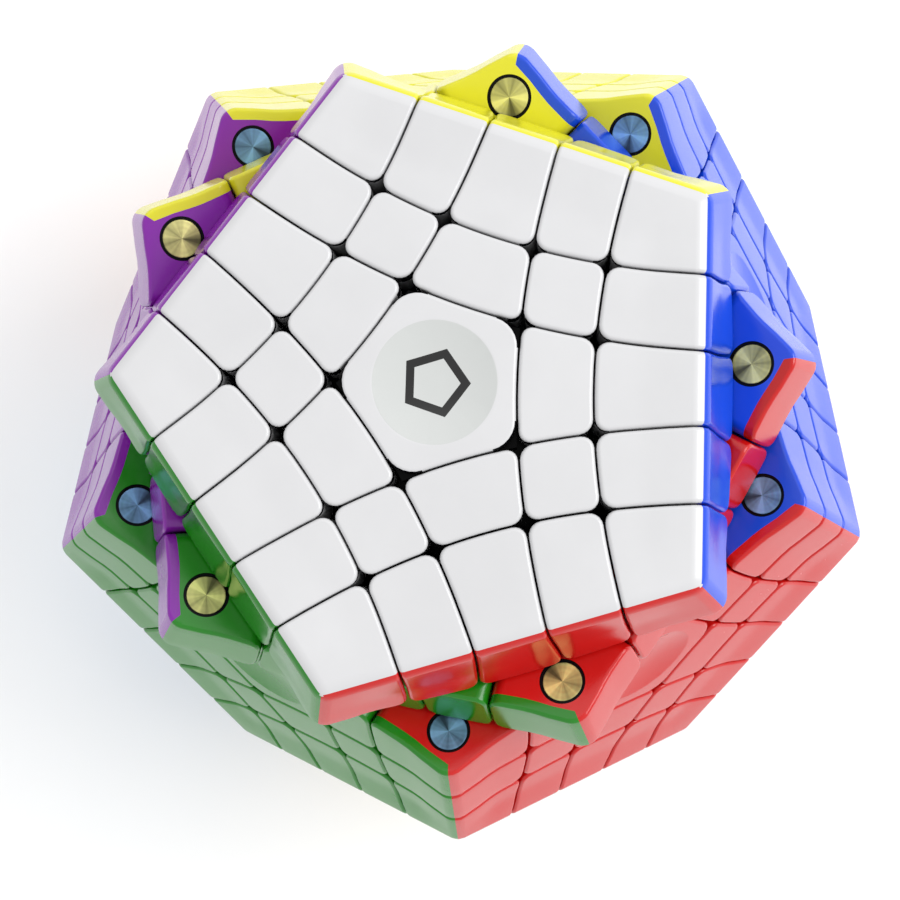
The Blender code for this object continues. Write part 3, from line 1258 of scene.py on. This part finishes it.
def stage_material():
    """Matt pale paper with hardly visible fibres."""
    made, tree, shader = material("pale_floor")
    fibre = noise(tree, object_place(tree), scale=60.0, detail=4.0)
    tone = stretched(tree, fibre, (0.0, 1.0), (0.93, 0.95))
    feed(tree, shader, {"Roughness": 0.9, "Base Color": tone})
    return made


class PUZZLE_OT_stage(bpy.types.Operator):
    """Makes the pale floor, the soft light and the camera"""

    bl_idname = "puzzle.stage"
    bl_label = "Stage"

    def execute(self, context):
        scene = bpy.context.scene
        deselect()
        bpy.ops.mesh.primitive_plane_add(size=8)
        floor = added("floor")
        floor.data.materials.append(stage_material())

        world = bpy.data.worlds.new("studio")
        world.use_nodes = True
        glow = world.node_tree.nodes["Background"].inputs
        feed(world.node_tree, glow, {"Color": (1, 1, 1, 1), "Strength": WORLD_STRENGTH})
        scene.world = world

        for name, place, width, power in LIGHTS:
            bpy.ops.object.light_add(type="AREA", location=place)
            light = bpy.context.object
            light.name = name
            light.data.size = width
            light.data.energy = power
            toward = CENTRE - light.location
            light.rotation_euler = toward.to_track_quat("-Z", "Y").to_euler()

        bpy.ops.object.camera_add()
        camera = bpy.context.object
        camera.name = "camera"
        camera.data.sensor_width = 36
        camera.data.lens = 46.41
        camera.data.shift_x = 0.0022
        camera.data.shift_y = -0.0043
        camera.data.clip_start = 0.005
        right = Vector((-0.59871, -0.79900, -0.05609))
        up = Vector((0.79579, -0.60132, 0.07158))
        back = Vector((-0.09093, -0.00178, 0.99586))
        turn = Matrix((right, up, back)).transposed().to_4x4()
        edges_away = Vector((-0.4211, 0.0656, 4.0415))
        place = CENTRE + edges_away * FACE_DISTANCE / FACE_PER_EDGE
        camera.matrix_world = Matrix.Translation(place) @ turn
        scene.camera = camera
        scene.view_settings.view_transform = "Standard"
        return {"FINISHED"}


# ---------------------------------------------------------------- add-on


OPERATORS = (
    PUZZLE_OT_corners,
    PUZZLE_OT_midges,
    PUZZLE_OT_wings,
    PUZZLE_OT_t_centers,
    PUZZLE_OT_x_centers,
    PUZZLE_OT_centers,
    PUZZLE_OT_mechanism,
    PUZZLE_OT_magnets,
    PUZZLE_OT_core,
    PUZZLE_OT_stage,
)


class VIEW3D_PT_puzzle(bpy.types.Panel):
    """Sizes, colours and pieces of the puzzle"""

    bl_label = "Puzzle"
    bl_space_type = "VIEW_3D"
    bl_region_type = "UI"
    bl_category = "Puzzle"

    def draw(self, context):
        for settings in (context.scene.puzzle_sizes, context.scene.puzzle_colours):
            box = self.layout.box()
            for name in settings.__annotations__:
                box.prop(settings, name)
        for operator in OPERATORS:
            self.layout.operator(operator.bl_idname)


CLASSES = (PuzzleSizes, PuzzleColours, *OPERATORS, VIEW3D_PT_puzzle)


def register():
    """Adds the classes and the scene's settings."""
    for cls in CLASSES:
        bpy.utils.register_class(cls)
    bpy.types.Scene.puzzle_sizes = bpy.props.PointerProperty(type=PuzzleSizes)
    bpy.types.Scene.puzzle_colours = bpy.props.PointerProperty(type=PuzzleColours)


def unregister():
    """Takes them away again."""
    del bpy.types.Scene.puzzle_colours
    del bpy.types.Scene.puzzle_sizes
    for cls in reversed(CLASSES):
        bpy.utils.unregister_class(cls)


def main():
    """Builds the whole puzzle with the operators."""
    register()
    for operator in OPERATORS:
        module, name = operator.bl_idname.split(".")
        getattr(getattr(bpy.ops, module), name)()


if __name__ == "__main__":
    main()
